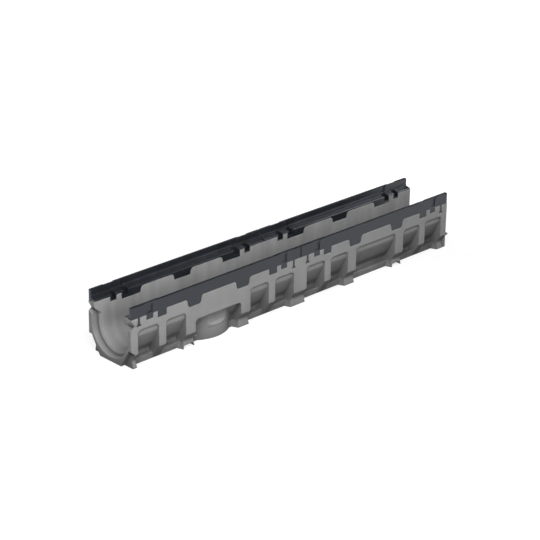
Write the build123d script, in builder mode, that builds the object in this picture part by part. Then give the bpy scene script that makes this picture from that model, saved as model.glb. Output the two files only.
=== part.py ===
from build123d import *
import os

# Trough channel for surface drainage: one fibre-reinforced concrete casting
# with four ductile-iron edge rails cast into its top edges.
# X runs along the channel, Y across it, Z up from the ground. Millimetres.

# overall sizes
length = 1000.0
width = 140.0
height = 145.0
wall_thickness = 20.0
bore_floor = 20.0

# edge rails, heights measured down from the top edge
rail_gap = 3.0
rail_end_inset = 1.5
rail_outer_drop = 26.5
rail_inner_drop = 24.5
rail_step_setback = 10.0
upright_thickness = 6.0
upright_root_thickness = 8.0
upright_root_drop = 16.0
seat_outer_drop = 18.7
seat_inner_drop = 21.0
seat_lip_round = 0.8
tab_thickness = 6.0
cast_gap = 0.3
lock_pad_length = 78.5
lock_pad_thickness = 1.2
lock_pad_drop = 12.0

# hanging tabs of a rail, the aprons placed from its middle and the others from its ends
key_inset = 20.5
key_stem_width = 5.0
key_foot_width = 14.0
key_stem_drop = 40.5
key_foot_drop = 46.0
small_tab_inset = 51.0
small_tab_width = 18.0
small_tab_drop = 37.5
large_tab_inset = 85.2
large_tab_width = 24.0
large_tab_drop = 41.0
apron_offset = 71.0
apron_foot_half = 17.5
apron_top_half = 21.0
apron_drop = 45.5
apron_round = 7.0
inner_small_width = 16.5
inner_small_drop = 35.5
inner_large_inset = 74.5
inner_large_width = 52.0
inner_middle_half = 23.0
inner_tab_drop = 39.0
inner_tab_round = 9.0
inner_tab_slant = 2.5

# locking pockets in the rails
small_pocket_width = 13.0
large_pocket_width = 14.5
pocket_floor_drop = 33.0

# marks of the locks in a rail's upright: an outer notch with a 45 degree mouth, an inner slot
notch_half = 7.8
notch_floor_drop = 23.0
notch_mouth_drop = 6.7
notch_cut = 2.3
slot_width = 8.0
slot_cut = 2.3

# core of the casting between the ribs, as depths from the side face and heights
slab_depth = 22.0
slab_height = 14.0
waist_depth = 34.0
waist_rise = 8.0
bend_depth = 20.5
bend_rise = 17.0
shoulder_drop = 69.0
panel_depth = 3.5
panel_drop = 56.0
panel_corner = 9.0

# ribs: a narrow one and a wide one stand beside the middle rib and beside each end rib
middle_rib_half = 20.5
end_rib_width = 19.0
narrow_rib_width = 20.0
wide_rib_width = 28.0
first_pocket_width = 58.5
second_pocket_width = 56.5
rib_foot_height = 35.0
recess_depth = 10.3
recess_height = 18.5
recess_round = 9.0

# feet below the wide ribs
foot_setback = 7.0
foot_flare = 2.0
foot_spread = 8.0
foot_height = 15.0
relief_height = 7.5
relief_slant = 2.5
relief_reach = 24.0
relief_round = 2.5

# outlet boss in the left half
boss_offset = 2.0
boss_radius = 84.0
boss_setback = 7.0
boss_panel_top = 64.0
boss_cut_height = 28.5
boss_cut_depth = 4.0
boss_cut_rise = 8.5
boss_groove = 1.2
boss_groove_half = 26.0

# joint ends
rebate_widening = 10.0
rebate_depth = 15.0
rebate_drop = 38.5
rebate_fall = 14.0
rebate_step = 4.0
groove_depth = 10.5
groove_top_drop = 28.5
groove_root_drop = 42.0
groove_foot_drop = 50.0
groove_top_fall = 10.0
groove_foot_fall = 4.0
collar_depth = 10.0
collar_foot_inset = 35.0
collar_top_inset = 9.0
lug_length = 8.3
lug_root_height = 43.0
lug_slope_fall = 6.0
lug_under_height = 28.0
lug_clearance = 0.5

# derived sizes
half_length = length / 2
half_width = width / 2
bore_radius = half_width - wall_thickness
bore_axis_height = bore_floor + bore_radius
rail_length = half_length - rail_end_inset - rail_gap / 2
rail_middle = rail_gap / 2 + rail_length / 2
rail_foot = height - rail_outer_drop
rail_lip = height - rail_inner_drop
step_face = half_width - rail_step_setback
small_tab_offset = rail_length / 2 - small_tab_inset
large_tab_offset = rail_length / 2 - large_tab_inset
pocket_reach = wall_thickness - upright_root_thickness
slab_half = half_width - slab_depth
panel_face = half_width - panel_depth
panel_top = height - panel_drop
boss_x = boss_offset - rail_middle
boss_front = half_width - boss_setback
foot_front = half_width - foot_setback
recess_face = half_width - recess_depth
rebate_radius = bore_radius + rebate_widening
rebate_top = height - rebate_drop
rebate_low_top = rebate_top - rebate_fall
collar_foot_half = half_width - collar_foot_inset
collar_top_half = half_width - collar_top_inset
lug_tip_height = lug_root_height - lug_slope_fall
margin = 6.0


def lying_prism(points, x_start, x_end, radii=0):
    """A prism along X whose section is given as (y, z) points."""
    with BuildPart() as solid:
        with BuildSketch(Plane.YZ.offset(x_start)):
            with BuildLine():
                FilletPolyline(*points, radius=radii, close=True)
            make_face()
        extrude(amount=x_end - x_start)
    return solid.part


def standing_prism(points, y_start, y_end, radii=0):
    """A prism along Y whose outline is given as (x, z) points."""
    with BuildPart() as solid:
        with BuildSketch(Plane.XZ.offset(-y_start)):
            with BuildLine():
                FilletPolyline(*points, radius=radii, close=True)
            make_face()
        extrude(amount=y_start - y_end)
    return solid.part


def box_outline(low, high, foot, top):
    """Corners of an upright rectangle."""
    return [(low, foot), (high, foot), (high, top), (low, top)]


def apron_outline(middle, foot_half, top_half, drop, shoulder, flow, gap):
    """Outline of a hanging apron that flows into the rail's lower edge."""
    foot = height - drop - gap
    top = rail_lip + 1.0
    wing = top_half + 2.0 * flow + gap
    return [(middle - wing, shoulder), (middle - top_half - gap, shoulder),
            (middle - foot_half - gap, foot), (middle + foot_half + gap, foot),
            (middle + top_half + gap, shoulder), (middle + wing, shoulder),
            (middle + wing, top), (middle - wing, top)]


def key_outline(middle, gap):
    """Outline of the key that anchors a rail's end: a stem with a flared foot."""
    stem = key_stem_width / 2 + gap
    flare = key_foot_width / 2 + gap
    foot = height - key_foot_drop - gap
    neck = height - key_stem_drop + gap
    top = rail_lip + 1.0
    return [(middle - flare, foot), (middle + flare, foot), (middle + stem, neck),
            (middle + stem, top), (middle - stem, top), (middle - stem, neck)]


def hanging_tabs(gap):
    """All tabs below a rail, grown by the gap that the casting leaves around them."""
    outer_start = half_width - tab_thickness - gap
    outer_end = half_width + (margin if gap else 0)
    inner_start = bore_radius - (margin if gap else 0)
    inner_end = bore_radius + tab_thickness + gap
    top = rail_lip + 1.0
    pieces = []
    for side in (-1, 1):
        pieces.append(standing_prism(key_outline(side * (rail_length / 2 - key_inset), gap),
                                     outer_start, outer_end))
        for offset, tab_width, drop in ((small_tab_offset, small_tab_width, small_tab_drop),
                                        (large_tab_offset, large_tab_width, large_tab_drop)):
            low = side * offset - tab_width / 2 - gap
            high = side * offset + tab_width / 2 + gap
            pieces.append(standing_prism(box_outline(low, high, height - drop - gap, top),
                                         outer_start, outer_end))
        pieces.append(standing_prism(
            apron_outline(side * apron_offset, apron_foot_half, apron_top_half, apron_drop,
                          rail_foot, apron_round, gap),
            outer_start, outer_end, (0, apron_round, apron_round, apron_round, apron_round, 0, 0, 0)))
        low = side * small_tab_offset - inner_small_width / 2 - gap
        high = side * small_tab_offset + inner_small_width / 2 + gap
        pieces.append(standing_prism(
            box_outline(low, high, height - inner_small_drop - gap, top), inner_start, outer_start + 1.0))
        low = side * large_tab_offset - large_pocket_width / 2 - 3.0 - gap
        high = side * large_tab_offset + large_pocket_width / 2 + 3.0 + gap
        pieces.append(standing_prism(
            box_outline(low, high, height - inner_tab_drop - gap, top), inner_start, outer_start + 1.0))
        foot = height - inner_tab_drop - gap
        far = side * (rail_length / 2 - inner_large_inset + gap)
        near = far - side * (inner_large_width + 2 * gap)
        flow = near - side * inner_tab_slant
        wing = flow - side * 2.0 * inner_tab_round
        pieces.append(standing_prism(
            [(wing, rail_lip), (flow, rail_lip), (near, foot), (far, foot), (far, top), (wing, top)],
            inner_start, inner_end, (0, inner_tab_round, 0, 0, 0, 0)))
    pieces.append(standing_prism(
        apron_outline(0, inner_middle_half, inner_middle_half + inner_tab_slant, inner_tab_drop,
                      rail_lip, inner_tab_round, gap),
        inner_start, inner_end, (0, inner_tab_round, 0, 0, inner_tab_round, 0, 0, 0)))
    with BuildPart() as tabs:
        for piece in pieces:
            add(piece)
    return tabs.part


def lock_notch(middle):
    """Shallow notch in a rail's outer face above a small tab, with a flared mouth."""
    foot = height - notch_floor_drop
    throat = height - notch_mouth_drop
    mouth = notch_half + notch_mouth_drop + 1.0
    outline = [(middle - notch_half, foot), (middle + notch_half, foot), (middle + notch_half, throat),
               (middle + mouth, height + 1.0), (middle - mouth, height + 1.0), (middle - notch_half, throat)]
    return standing_prism(outline, half_width - notch_cut, half_width + 1.0)


def rail_shape():
    """One edge rail at the channel's middle, on the +Y side."""
    root = half_width - upright_root_thickness
    section = [
        (half_width, rail_foot), (half_width, height),
        (half_width - upright_thickness, height),
        (half_width - upright_thickness, height - lock_pad_drop),
        (root, height - upright_root_drop), (root, height - seat_outer_drop),
        (bore_radius + seat_lip_round, height - seat_inner_drop),
        (bore_radius, height - seat_inner_drop - seat_lip_round),
        (bore_radius, rail_lip), (step_face, rail_lip), (step_face, rail_foot)]
    pad_face = half_width - upright_thickness - lock_pad_thickness
    with BuildPart() as rail:
        add(lying_prism(section, -rail_length / 2, rail_length / 2))
        add(hanging_tabs(0))
        for side in (-1, 1):
            pad = sorted((side * (rail_length / 2 - lock_pad_length), side * rail_length / 2))
            add(standing_prism(box_outline(*pad, height - lock_pad_drop - 1.0, height),
                               pad_face, half_width - upright_thickness + 1.0))
            for offset, pocket_width in ((small_tab_offset, small_pocket_width),
                                         (large_tab_offset, large_pocket_width)):
                add(standing_prism(
                    box_outline(side * offset - pocket_width / 2, side * offset + pocket_width / 2,
                                height - pocket_floor_drop, height - seat_outer_drop + 1.0),
                    bore_radius - margin, bore_radius + pocket_reach), mode=Mode.SUBTRACT)
            add(lock_notch(side * small_tab_offset), mode=Mode.SUBTRACT)
            add(standing_prism(
                box_outline(side * large_tab_offset - slot_width / 2, side * large_tab_offset + slot_width / 2,
                            height - upright_root_drop, height + 1.0),
                root - 1.0, pad_face + slot_cut), mode=Mode.SUBTRACT)
    return rail.part


def side_pocket(x_low, x_high, top):
    """Hollow between two ribs on the +Y side, with round upper corners."""
    outside = half_width + margin
    waist = half_width - waist_depth
    waist_foot = slab_height + 1.0
    bend_height = waist_foot + waist_rise + bend_rise
    section = [(slab_half, -margin), (slab_half, slab_height), (waist, waist_foot),
               (waist, waist_foot + waist_rise), (half_width - bend_depth, bend_height),
               (panel_face, height - shoulder_drop), (panel_face, panel_top), (outside, panel_top),
               (outside, -margin)]
    with BuildPart() as hollow:
        add(lying_prism(section, x_low, x_high,
                        (0, 1.5, 0, waist_rise * 0.875, 25, 18, 3, 0, 0)))
        add(standing_prism(box_outline(x_low, x_high, -2 * margin, top), 0, outside + 1.0,
                           (0, 0, panel_corner, panel_corner)), mode=Mode.INTERSECT)
    return hollow.part


def rib_pair(offset, rib_width):
    """Near and far faces of two like ribs, beside the middle rib and beside the right end rib."""
    inner = middle_rib_half + offset
    outer = half_length - end_rib_width - offset
    return (inner, inner + rib_width), (outer - rib_width, outer)


def mirrored(spans):
    """The same spans on the left half of the channel."""
    return [(-far, -near) for near, far in spans]


def outlet_boss():
    """Upright bulge of the outlet position, reaching both side faces."""
    span = boss_radius - boss_front
    cut = [(boss_front + 0.2, boss_cut_height), (boss_front - boss_cut_depth, boss_cut_height + boss_cut_rise),
           (boss_front - boss_cut_depth, boss_panel_top), (half_width, boss_panel_top),
           (half_width, boss_cut_height)]
    with BuildPart() as boss:
        with BuildSketch():
            with Locations((boss_x, span)):
                Circle(boss_radius)
            with Locations((boss_x, -span)):
                Circle(boss_radius, mode=Mode.INTERSECT)
        extrude(amount=boss_panel_top)
        with BuildSketch(Plane.XY.offset(boss_cut_height - boss_groove)):
            with Locations((boss_x, 0)):
                Rectangle(2 * boss_groove_half, 2 * boss_front)
            with Locations((boss_x, span)):
                Circle(boss_radius - boss_groove, mode=Mode.SUBTRACT)
        extrude(amount=boss_groove, mode=Mode.SUBTRACT)
        with BuildSketch(Plane.XY.offset(boss_cut_height - boss_groove)):
            with Locations((boss_x, 0)):
                Rectangle(2 * boss_groove_half, 2 * boss_front)
            with Locations((boss_x, -span)):
                Circle(boss_radius - boss_groove, mode=Mode.SUBTRACT)
        extrude(amount=boss_groove, mode=Mode.SUBTRACT)
        slope = lying_prism(cut, boss_x - boss_radius, boss_x + boss_radius)
        add(slope, mode=Mode.SUBTRACT)
        add(slope.mirror(Plane.XZ), mode=Mode.SUBTRACT)
    return boss.part


def both_sides(shapes):
    """The shapes and their mirror images across the channel's middle plane."""
    return [half for shape in shapes for half in (shape, shape.mirror(Plane.XZ))]


def foot_block(near, far):
    """Foot of a wide rib on the +Y side, spreading towards the slab and the ground."""
    with BuildPart() as foot:
        with BuildSketch():
            with BuildLine():
                Polyline((near - foot_spread, 0), (near - foot_spread, slab_half),
                         (near - foot_flare, foot_front), (far + foot_flare, foot_front),
                         (far + foot_spread, slab_half), (far + foot_spread, 0), close=True)
            make_face()
        with BuildSketch(Plane.XY.offset(foot_height)):
            with BuildLine():
                Polyline((near, 0), (near, slab_half), (near, foot_front), (far, foot_front),
                         (far, slab_half), (far, 0), close=True)
            make_face()
        loft(ruled=True)
        add(lying_prism(casting_section()[0], near - foot_spread, far + foot_spread,
                        casting_section()[1]), mode=Mode.INTERSECT)
    return foot.part


def relief(near, far):
    """Arched hollow under the foot of an outer wide rib on the +Y side."""
    outline = [(near - foot_flare, -margin), (near - foot_flare + 1.0, 0),
               (near - foot_flare + 1.0 + relief_slant, relief_height),
               (far + foot_flare - 1.0 - relief_slant, relief_height),
               (far + foot_flare - 1.0, 0), (far + foot_flare, -margin)]
    return standing_prism(outline, half_width - relief_reach, half_width,
                          (0, 0, relief_round, relief_round, 0, 0))


def trough_section(radius, top, x):
    """Sketch of an upright U at x whose round bottom lies on the bore axis."""
    with BuildSketch(Plane.YZ.offset(x)) as shape:
        with BuildLine():
            Polyline((-radius, bore_axis_height), (-radius, top), (radius, top), (radius, bore_axis_height))
            ThreePointArc((radius, bore_axis_height), (0, bore_axis_height - radius), (-radius, bore_axis_height))
        make_face()
    return shape.sketch


def wall_groove():
    """Seal groove across the +Y wall at the left end, tilted down towards the bore."""
    start = -half_length
    top = height - groove_top_drop
    foot = height - groove_foot_drop
    outer = [(start - margin, top + margin), (start, top),
             (start + groove_depth, height - groove_root_drop), (start, foot),
             (start - margin, foot - margin)]
    falls = (groove_top_fall, groove_top_fall, (groove_top_fall + groove_foot_fall) / 2,
             groove_foot_fall, groove_foot_fall)
    inner = [(x, z - fall) for (x, z), fall in zip(outer, falls)]
    with BuildPart() as groove:
        for y, outline in ((half_width, outer), (rebate_radius, inner)):
            with BuildSketch(Plane.XZ.offset(-y)):
                with BuildLine():
                    Polyline(*outline, close=True)
                make_face()
        loft(ruled=True)
    return groove.part


def female_joint():
    """Material removed at the left end: rebate, wall grooves and the lugs' pockets."""
    start = -half_length
    collar_rise = (collar_top_half - collar_foot_half) / lug_root_height
    collar_mid = collar_foot_half + collar_rise * rib_foot_height
    collar_low = collar_foot_half - collar_rise
    outside = half_width + margin
    flank = lying_prism([(collar_low, -1), (collar_mid, rib_foot_height), (outside, rib_foot_height),
                         (outside, -1)], start, start + collar_depth)
    slot_top = lug_root_height + lug_clearance
    slot_side = lying_prism([(collar_mid, rib_foot_height - 1), (collar_top_half, slot_top),
                             (outside, slot_top), (outside, rib_foot_height - 1)], start - 1, start + margin * 2)
    slot = [(start - 1, slot_top + 1), (start, slot_top), (start + lug_length, slot_top - lug_slope_fall),
            (start + lug_length, rib_foot_height - 1), (start - 1, rib_foot_height - 1)]
    step = start + rebate_depth
    roof = [(start, 0), (step, 0), (step, rebate_low_top), (start, rebate_top)]
    with BuildPart() as pocket:
        add(slot_side)
        add(standing_prism(slot, 0, outside), mode=Mode.INTERSECT)
    with BuildPart() as rebate:
        extrude(trough_section(rebate_radius, rebate_top + 1.0, start), amount=rebate_depth)
        add(standing_prism(roof, -outside, outside), mode=Mode.INTERSECT)
    with BuildPart() as cut:
        add(rebate.part)
        loft([trough_section(bore_radius + rebate_step, rebate_low_top, step).face(),
              trough_section(bore_radius, rebate_low_top, step + rebate_step).face()], ruled=True)
        add(both_sides([flank, pocket.part, wall_groove()]))
    return cut.part


def male_wing():
    """Wing with its lug at the right end, beside the next channel's collar, on the +Y side."""
    end = half_length
    inner_foot = collar_foot_half + lug_clearance
    inner_top = collar_top_half + lug_clearance
    profile = [(end - 1, -1), (end + lug_length, -1), (end + lug_length, lug_tip_height),
               (end, lug_root_height), (end - 1, lug_root_height)]
    section = [(inner_foot, 0), (foot_front, 0), (foot_front - 0.5, lug_under_height),
               (half_width, rib_foot_height), (half_width, lug_root_height), (inner_top, lug_root_height)]
    with BuildPart() as wing:
        add(lying_prism(section, end - 1, end + lug_length))
        add(standing_prism(profile, 0, half_width + 1), mode=Mode.INTERSECT)
    return wing.part


def casting_section():
    """Outline of the casting through a wide rib, closed across the bore, and its corner radii."""
    right = [(foot_front, 0), (recess_face, recess_height), (half_width, rib_foot_height),
             (half_width, rail_foot), (step_face, rail_foot), (step_face, rail_lip), (0, rail_lip)]
    left = [(-y, z) for y, z in reversed(right[:-1])]
    half_radii = (0, recess_round, 0, 0, 0, 0)
    return right + left, half_radii + (0,) + half_radii[::-1]


def channel_shape():
    """The whole concrete casting without the rails' beds."""
    narrow_low = [(slab_half, -1), (slab_half, 0), (half_width, rib_foot_height),
                  (half_width + margin, rib_foot_height), (half_width + margin, -1)]
    middle_rib = (-middle_rib_half, middle_rib_half)
    inner_narrow, outer_narrow = rib_pair(first_pocket_width, narrow_rib_width)
    inner_wide, outer_wide = rib_pair(first_pocket_width + narrow_rib_width + second_pocket_width,
                                      wide_rib_width)
    end_rib = (half_length - end_rib_width, half_length)
    row = (middle_rib, inner_narrow, inner_wide, outer_wide, outer_narrow, end_rib)
    spans = [(rib[1], following[0]) for rib, following in zip(row, row[1:])]
    hollows = [side_pocket(near, far, panel_top) for near, far in spans]
    for near, far in mirrored(spans):
        hollows.append(side_pocket(near, far, boss_panel_top if near < boss_x < far else panel_top))
    narrow_ribs = [inner_narrow, outer_narrow]
    for near, far in narrow_ribs + mirrored(narrow_ribs):
        hollows.append(lying_prism(narrow_low, near - 0.5, far + 0.5))
    footed = [inner_wide, outer_wide, end_rib]
    feet = [foot_block(near, far) for near, far in [middle_rib] + footed + mirrored(footed)]
    reliefs = [relief(near, far) for near, far in [outer_wide] + mirrored([outer_wide])]
    section, radii = casting_section()
    with BuildPart() as casting:
        add(lying_prism(section, -half_length, half_length, radii))
        for hollow in both_sides(hollows):
            add(hollow, mode=Mode.SUBTRACT)
        add(outlet_boss())
        add(both_sides(feet))
        for hollow in both_sides(reliefs):
            add(hollow, mode=Mode.SUBTRACT)
        with Locations((0, 0, height / 2)):
            Box(length, 2 * width, 2 * height, mode=Mode.INTERSECT)
        add(both_sides([male_wing()]))
        extrude(trough_section(bore_radius, height, -half_length), amount=length, mode=Mode.SUBTRACT)
        add(female_joint(), mode=Mode.SUBTRACT)
    return casting.part


rear_rail = rail_shape()
rear_bed = hanging_tabs(cast_gap)
front_rail = rear_rail.mirror(Plane.XZ)
front_bed = rear_bed.mirror(Plane.XZ)

with BuildPart() as channel_body:
    add(channel_shape())
    for x in (-rail_middle, rail_middle):
        add(rear_bed.moved(Location((x, 0, 0))), mode=Mode.SUBTRACT)
        add(front_bed.moved(Location((x, 0, 0))), mode=Mode.SUBTRACT)

with BuildPart() as edge_rail_front_left:
    add(front_rail.moved(Location((-rail_middle, 0, 0))))

with BuildPart() as edge_rail_front_right:
    add(front_rail.moved(Location((rail_middle, 0, 0))))

with BuildPart() as edge_rail_rear_left:
    add(rear_rail.moved(Location((-rail_middle, 0, 0))))

with BuildPart() as edge_rail_rear_right:
    add(rear_rail.moved(Location((rail_middle, 0, 0))))

os.makedirs("parts", exist_ok=True)
channel_body.part.label = "channel_body"
edge_rail_front_left.part.label = "edge_rail_front_left"
edge_rail_front_right.part.label = "edge_rail_front_right"
edge_rail_rear_left.part.label = "edge_rail_rear_left"
edge_rail_rear_right.part.label = "edge_rail_rear_right"
export_step(channel_body.part, "parts/channel_body.step")
export_step(edge_rail_front_left.part, "parts/edge_rail_front_left.step")
export_step(edge_rail_front_right.part, "parts/edge_rail_front_right.step")
export_step(edge_rail_rear_left.part, "parts/edge_rail_rear_left.step")
export_step(edge_rail_rear_right.part, "parts/edge_rail_rear_right.step")
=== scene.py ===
import math

import bpy
import numpy as np
from mathutils import Euler, Matrix, Vector

# Trough channel for surface drainage: a concrete casting with four coated iron
# edge rails, on a white floor in soft light. Metres, X along the channel.

MM = 0.001

# sockets that are known by number: Map Range's value, the range it has and the range it
# gets, and Mix's share, two colours and result when it mixes colours
VALUE, FROM_LOW, FROM_HIGH, TO_LOW, TO_HIGH = range(5)
SHARE, FIRST, SECOND, MIXED = 0, 6, 7, 2

# most of a noise texture's values lie between these
NOISE_LOW, NOISE_HIGH = 0.3, 0.7

# the casting's skin
CLOUD_SIZE = 60 * MM
SAND_SIZE = 1.8 * MM
BAND_SIZE = 20 * MM
BAND_STRETCH = (1, 0.1, 0.04)           # drawn out across the trough and upwards
BAND_DEPTH_INSIDE, BAND_DEPTH_OUTSIDE = 0.10, 0.02
TROUGH_WALL = (51 * MM, 53 * MM)        # from the middle plane: inside ends, outside begins
AIR_HOLE_GAP = 11 * MM
AIR_HOLE_EDGE = (0.035, 0.075)          # as shares of the gap
AIR_HOLE_SHADE = 0.74
# painted shade in corners and pockets, from an occlusion node
CORNER_REACH = 75 * MM
CORNER_OPEN = (0.3, 0.95)               # how much of the sky a corner and a clean face see
CORNER_SHADE = 0.46
CASTING_EDGE = 4 * MM

# the rails' coating
ORANGE_PEEL_SIZE = 2.4 * MM
COATING_CLOUD_SIZE = 35 * MM
RAIL_EDGE = 1.2 * MM

# the white floor's own glow, in metres from the object's middle: it is full outside the shadow
FLOOR_HALF = 8.0
PAPER_NEAR = 0.65
PAPER_FAR = 1.0
PAPER_OVAL = (1, 2, 1)
PAPER_GLOW_NEAR = 0.74

# what the room adds to the lamps
ROOM_STRENGTH = 0.02

# each lamp's name, its place, the point that it faces, its side in metres, its watts
MIDDLE = (0, 0, 0.07)
LEFT_PART = (-0.3, 0, 0.07)
LAMPS = (
    ("left_lamp", (-1.6, -0.75, 1.2), LEFT_PART, 0.6, 11.5),
    ("front_lamp", (-0.8, -1.5, 0.7), LEFT_PART, 0.8, 19.0),
    ("right_lamp", (3.255, -1.185, 2.07), MIDDLE, 1.6, 98.0),
    ("upper_lamp", (-1.970, -1.653, 3.134), MIDDLE, 1.6, 80.0),
    ("rear_lamp", (-0.6, 3.4, 1.1), MIDDLE, 1.6, 120.0),
)

# camera, set level with the photograph's view: degrees, metres, and millimetres for the lens
CAMERA_AZIMUTH = 44.366
CAMERA_ELEVATION = 23.538
CAMERA_ROLL = 0.841
CAMERA_PLACE = (-2.77248, -2.80564, 1.78305)
CAMERA_LENS = 125.315
CAMERA_SENSOR = 36.0
CAMERA_CLIP = (0.1, 100.0)


def srgb(code):
    """A colour written as an sRGB hex code, as linear red, green and blue with a full alpha."""
    parts = np.array([int(code[i:i + 2], 16) for i in (1, 3, 5)]) / 255
    linear = np.where(parts <= 0.04045, parts / 12.92, ((parts + 0.055) / 1.055) ** 2.4)
    return (*linear.tolist(), 1.0)


def add_node(tree, kind, inputs=None, **settings):
    """Adds one shader node, sets its properties, and fills or links its input sockets."""
    made = tree.nodes.new("ShaderNode" + kind)
    for name, value in settings.items():
        setattr(made, name, value)
    for socket, value in (inputs or {}).items():
        if isinstance(value, bpy.types.NodeSocket):
            tree.links.new(value, made.inputs[socket])
        else:
            made.inputs[socket].default_value = value
    return made


def new_material(name):
    """An empty node material with its output node, and the tree they are in."""
    material = bpy.data.materials.new(name)
    material.use_nodes = True
    tree = material.node_tree
    tree.nodes.clear()
    return material, tree, tree.nodes.new("ShaderNodeOutputMaterial")


def cast_concrete():
    """Fibre-reinforced concrete, cast in a steel mould: a mid-grey cement skin, matt, with
    cloudy mottling, a fine sandy grain and small air holes. Painted shade from an occlusion
    node darkens the skin in corners, in pockets and low down, and the skin has faint upright
    bands in the trough."""
    material, tree, output = new_material("cast_concrete")
    place = add_node(tree, "TexCoord").outputs["Object"]
    clouds = add_node(tree, "TexNoise", {
        "Vector": place, "Scale": 1 / CLOUD_SIZE, "Detail": 4.0, "Roughness": 0.6})
    sand = add_node(tree, "TexNoise", {
        "Vector": place, "Scale": 1 / SAND_SIZE, "Detail": 2.0, "Roughness": 0.7})
    stretched = add_node(tree, "Mapping", {"Vector": place, "Scale": BAND_STRETCH})
    bands = add_node(tree, "TexNoise", {
        "Vector": stretched.outputs[0], "Scale": 1 / BAND_SIZE, "Detail": 2.0,
        "Roughness": 0.5})

    # cement colour, cloudy
    skin = add_node(tree, "Mix", {
        SHARE: clouds.outputs["Fac"], FIRST: srgb("#818181"), SECOND: srgb("#959595")},
        data_type="RGBA")

    # sandy grain
    grain = add_node(tree, "MapRange", {
        VALUE: sand.outputs["Fac"], FROM_LOW: NOISE_LOW, FROM_HIGH: NOISE_HIGH,
        TO_LOW: 0.90, TO_HIGH: 1.10})

    # upright bands, stronger inside the trough than outside
    axes = add_node(tree, "SeparateXYZ", {0: place})
    side = add_node(tree, "Math", {0: axes.outputs["Y"]}, operation="ABSOLUTE")
    depth = add_node(tree, "MapRange", {
        VALUE: side.outputs[0], FROM_LOW: TROUGH_WALL[0], FROM_HIGH: TROUGH_WALL[1],
        TO_LOW: BAND_DEPTH_INSIDE, TO_HIGH: BAND_DEPTH_OUTSIDE})
    swing = add_node(tree, "MapRange", {
        VALUE: bands.outputs["Fac"], FROM_LOW: NOISE_LOW, FROM_HIGH: NOISE_HIGH,
        TO_LOW: -1.0, TO_HIGH: 1.0})
    band = add_node(tree, "Math", {0: swing.outputs[0], 1: depth.outputs[0], 2: 1.0},
                    operation="MULTIPLY_ADD")
    shade = add_node(tree, "Math", {0: grain.outputs[0], 1: band.outputs[0]},
                     operation="MULTIPLY")

    # air holes: 0 in the middle of one, 1 outside it
    holes = add_node(tree, "TexVoronoi", {
        "Vector": place, "Scale": 1 / AIR_HOLE_GAP, "Randomness": 1.0})
    hole = add_node(tree, "MapRange", {
        VALUE: holes.outputs["Distance"], FROM_LOW: AIR_HOLE_EDGE[0],
        FROM_HIGH: AIR_HOLE_EDGE[1], TO_LOW: 0.0, TO_HIGH: 1.0})
    hole_shade = add_node(tree, "MapRange", {
        VALUE: hole.outputs[0], FROM_LOW: 0.0, FROM_HIGH: 1.0,
        TO_LOW: AIR_HOLE_SHADE, TO_HIGH: 1.0})

    # painted shade: an occlusion node darkens the colour in corners, in pockets and near the
    # ground
    corner = add_node(tree, "AmbientOcclusion", {"Distance": CORNER_REACH}, samples=8)
    painted_shade = add_node(tree, "MapRange", {
        VALUE: corner.outputs["AO"], FROM_LOW: CORNER_OPEN[0], FROM_HIGH: CORNER_OPEN[1],
        TO_LOW: CORNER_SHADE, TO_HIGH: 1.0})

    pitted = add_node(tree, "Math", {0: shade.outputs[0], 1: hole_shade.outputs[0]},
                      operation="MULTIPLY")
    # the painted shade from the occlusion node is multiplied into the colour
    tone = add_node(tree, "Math", {0: pitted.outputs[0], 1: painted_shade.outputs[0]},
                    operation="MULTIPLY")
    colour = add_node(tree, "VectorMath", {0: skin.outputs[MIXED], "Scale": tone.outputs[0]},
                      operation="SCALE")
    rough = add_node(tree, "MapRange", {
        VALUE: clouds.outputs["Fac"], FROM_LOW: NOISE_LOW, FROM_HIGH: NOISE_HIGH,
        TO_LOW: 0.78, TO_HIGH: 0.92})
    relief = add_node(tree, "Math", {0: sand.outputs["Fac"], 1: hole.outputs[0]},
                      operation="ADD")
    edges = add_node(tree, "Bevel", {"Radius": CASTING_EDGE}, samples=6)
    bump = add_node(tree, "Bump", {
        "Height": relief.outputs[0], "Strength": 0.35, "Distance": 0.25 * MM,
        "Normal": edges.outputs[0]})
    shader = add_node(tree, "BsdfPrincipled", {
        "Base Color": colour.outputs[0], "Roughness": rough.outputs[0], "IOR": 1.5,
        "Specular IOR Level": 0.2, "Normal": bump.outputs[0]})
    tree.links.new(shader.outputs[0], output.inputs["Surface"])
    return material


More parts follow.
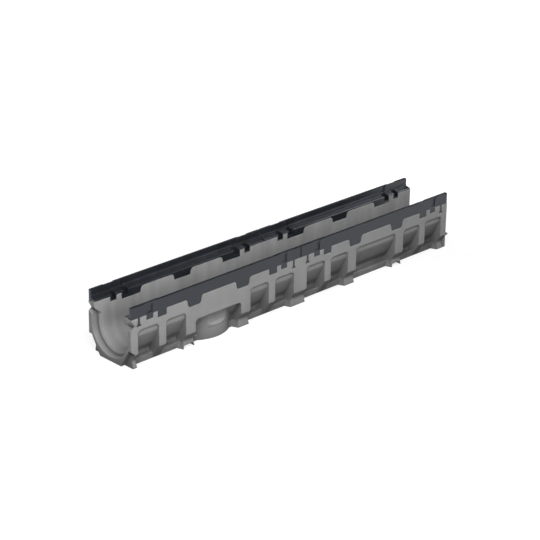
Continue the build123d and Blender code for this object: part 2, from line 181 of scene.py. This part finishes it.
def coated_iron():
    """Ductile iron, sand cast and dipped in a thin dark coating: blue-grey, satin,
    with the faint orange-peel skin of the sand under the coating."""
    material, tree, output = new_material("coated_ductile_iron")
    place = add_node(tree, "TexCoord").outputs["Object"]
    skin = add_node(tree, "TexNoise", {
        "Vector": place, "Scale": 1 / ORANGE_PEEL_SIZE, "Detail": 3.0, "Roughness": 0.6})
    cloud = add_node(tree, "TexNoise", {
        "Vector": place, "Scale": 1 / COATING_CLOUD_SIZE, "Detail": 3.0, "Roughness": 0.55})

    # coating colour: the two noises together lie about 1
    tone = add_node(tree, "Math", {0: skin.outputs["Fac"], 1: cloud.outputs["Fac"]},
                    operation="ADD")
    share = add_node(tree, "MapRange", {
        VALUE: tone.outputs[0], FROM_LOW: 0.7, FROM_HIGH: 1.3, TO_LOW: 0.0, TO_HIGH: 1.0})
    colour = add_node(tree, "Mix", {
        SHARE: share.outputs[0], FIRST: srgb("#17191C"), SECOND: srgb("#202328")},
        data_type="RGBA")

    rough = add_node(tree, "MapRange", {
        VALUE: cloud.outputs["Fac"], FROM_LOW: NOISE_LOW, FROM_HIGH: NOISE_HIGH,
        TO_LOW: 0.30, TO_HIGH: 0.42})
    edges = add_node(tree, "Bevel", {"Radius": RAIL_EDGE}, samples=6)
    bump = add_node(tree, "Bump", {
        "Height": skin.outputs["Fac"], "Strength": 0.25, "Distance": 0.2 * MM,
        "Normal": edges.outputs[0]})
    shader = add_node(tree, "BsdfPrincipled", {
        "Base Color": colour.outputs[MIXED], "Roughness": rough.outputs[0], "IOR": 1.58,
        "Specular Tint": srgb("#EDF3FF"), "Normal": bump.outputs[0]})
    tree.links.new(shader.outputs[0], output.inputs["Surface"])
    return material


def white_floor():
    """Matt board that shows as white paper and takes the object's faint shadow. It shows plain
    white in a gloss, and gives the object's undersides little light back."""
    material, tree, output = new_material("white_board")
    path = add_node(tree, "LightPath")
    place = add_node(tree, "TexCoord").outputs["Object"]

    # as any other ray meets it: dark board, with plain white added in a gloss
    board = add_node(tree, "BsdfDiffuse", {"Color": srgb("#202020")})
    gloss = add_node(tree, "Emission", {"Color": srgb("#FFFFFF"), "Strength": 1.0})
    bright = add_node(tree, "AddShader", {0: board.outputs[0], 1: gloss.outputs[0]})

    # as the camera shows it: paper with a glow that is full outside an oval round the object
    oval = add_node(tree, "Mapping", {"Vector": place, "Scale": PAPER_OVAL})
    distance = add_node(tree, "VectorMath", {0: oval.outputs[0]}, operation="LENGTH")
    level = add_node(tree, "MapRange", {
        VALUE: distance.outputs["Value"], FROM_LOW: PAPER_NEAR, FROM_HIGH: PAPER_FAR,
        TO_LOW: PAPER_GLOW_NEAR, TO_HIGH: 1.0})
    sheet = add_node(tree, "BsdfDiffuse", {"Color": srgb("#8A8A8A")})
    glow = add_node(tree, "Emission", {
        "Color": srgb("#FFFFFF"), "Strength": level.outputs[0]})
    paper = add_node(tree, "AddShader", {0: sheet.outputs[0], 1: glow.outputs[0]})

    unseen = add_node(tree, "MixShader", {
        0: path.outputs["Is Glossy Ray"], 1: board.outputs[0], 2: bright.outputs[0]})
    shown = add_node(tree, "MixShader", {
        0: path.outputs["Is Camera Ray"], 1: unseen.outputs[0], 2: paper.outputs[0]})
    tree.links.new(shown.outputs[0], output.inputs["Surface"])
    return material


def floor_sheet():
    """A level square on the ground: x and y run over a two by two grid, z is zero."""
    span = [-FLOOR_HALF, FLOOR_HALF]
    x, y = np.meshgrid(span, span)
    corners = np.stack([x, y, np.zeros_like(x)], -1).reshape(-1, 3)
    mesh = bpy.data.meshes.new("floor")
    mesh.from_pydata(corners.tolist(), [], [(0, 1, 3, 2)])
    mesh.materials.append(white_floor())
    floor = bpy.data.objects.new("floor", mesh)
    bpy.context.scene.collection.objects.link(floor)


def room_light():
    """An even white room: it shows as white, and lights the object with its own strength."""
    world = bpy.data.worlds.new("white_room")
    world.use_nodes = True
    tree = world.node_tree
    tree.nodes.clear()
    output = tree.nodes.new("ShaderNodeOutputWorld")
    path = add_node(tree, "LightPath")
    level = add_node(tree, "MapRange", {
        VALUE: path.outputs["Is Camera Ray"], FROM_LOW: 0.0, FROM_HIGH: 1.0,
        TO_LOW: ROOM_STRENGTH, TO_HIGH: 1.0})
    glow = add_node(tree, "Background", {
        "Color": srgb("#FFFFFF"), "Strength": level.outputs[0]})
    tree.links.new(glow.outputs[0], output.inputs["Surface"])
    bpy.context.scene.world = world


def soft_lamp(name, place, aim, size, watts):
    """A square area lamp at a place, turned towards a point."""
    lamp = bpy.data.lights.new(name, "AREA")
    lamp.shape = "SQUARE"
    lamp.size = size
    lamp.energy = watts
    holder = bpy.data.objects.new(name, lamp)
    holder.location = place
    holder.rotation_euler = (Vector(aim) - Vector(place)).to_track_quat("-Z", "Y").to_euler()
    bpy.context.scene.collection.objects.link(holder)


def photo_camera():
    """The camera, turned by azimuth, elevation and roll and put at its place."""
    camera = bpy.data.cameras.new("camera")
    camera.lens = CAMERA_LENS
    camera.sensor_width = CAMERA_SENSOR
    camera.clip_start, camera.clip_end = CAMERA_CLIP
    holder = bpy.data.objects.new("camera", camera)
    angles = CAMERA_AZIMUTH, CAMERA_ELEVATION, CAMERA_ROLL
    azimuth, elevation, roll = map(math.radians, angles)
    level = Euler((math.pi / 2 - elevation, 0, -azimuth)).to_matrix()
    turn = level @ Matrix.Rotation(roll, 3, "Z")
    holder.matrix_world = Matrix.Translation(CAMERA_PLACE) @ turn.to_4x4()
    bpy.context.scene.collection.objects.link(holder)
    bpy.context.scene.camera = holder


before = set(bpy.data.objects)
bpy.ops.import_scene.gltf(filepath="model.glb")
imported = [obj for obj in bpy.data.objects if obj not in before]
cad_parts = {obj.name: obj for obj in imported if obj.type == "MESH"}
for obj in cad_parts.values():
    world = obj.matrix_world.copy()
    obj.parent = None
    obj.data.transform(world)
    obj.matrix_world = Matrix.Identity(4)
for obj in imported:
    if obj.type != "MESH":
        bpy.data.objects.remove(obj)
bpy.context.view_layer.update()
bpy.context.scene.view_settings.view_transform = "Standard"

concrete = cast_concrete()
iron = coated_iron()
for name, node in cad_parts.items():
    for slot in node.material_slots:
        slot.material = concrete if name == "channel_body" else iron

floor_sheet()
room_light()
for lamp in LAMPS:
    soft_lamp(*lamp)
photo_camera()
